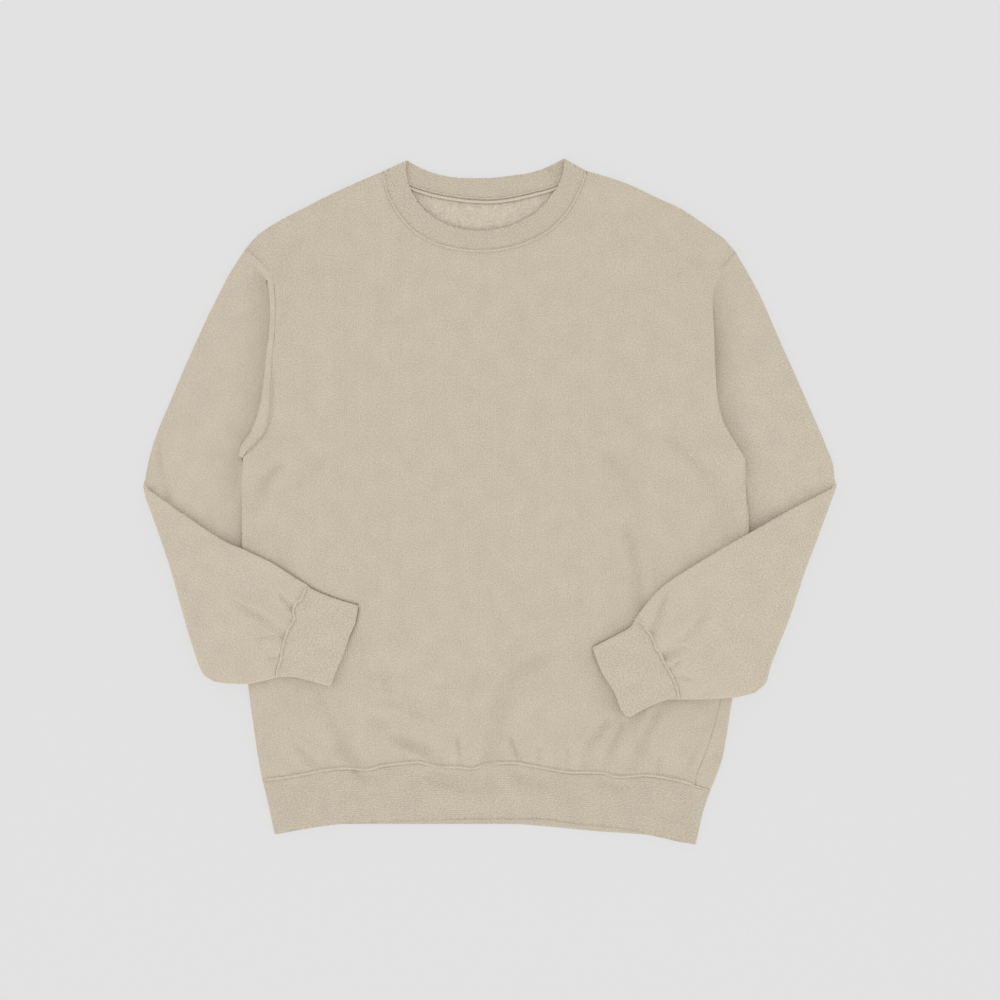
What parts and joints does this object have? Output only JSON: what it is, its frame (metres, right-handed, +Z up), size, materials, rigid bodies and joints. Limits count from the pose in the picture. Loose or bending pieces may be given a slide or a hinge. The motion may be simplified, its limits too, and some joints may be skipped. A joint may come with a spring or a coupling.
{
  "type": "crewneck sweatshirt",
  "caption": "Plain brushed-fleece crewneck sweatshirt laid flat on its back, both sleeves folded over at the elbow so the cuffs lie on the belly; rib collar, cuffs and hem.",
  "frame": {"origin": "on the surface it lies on, under the middle of the laid garment's outline", "axes": "+Z up from the surface, through the front; +Y from hem to collar; +X to the right as seen from above"},
  "size_m": [0.7749, 0.768, 0.023],
  "materials": {
    "fleece": "matt sand-coloured fleece with a short brushed nap",
    "rib": "matt sand-coloured rib knit"
  },
  "bodies": {
    "root": {"front": "fleece", "back": "fleece", "sleeve_left": "fleece", "sleeve_right": "fleece", "collar": "rib", "cuff_left": "rib", "cuff_right": "rib", "hem_rib": "rib"}
  },
  "joints": []
}
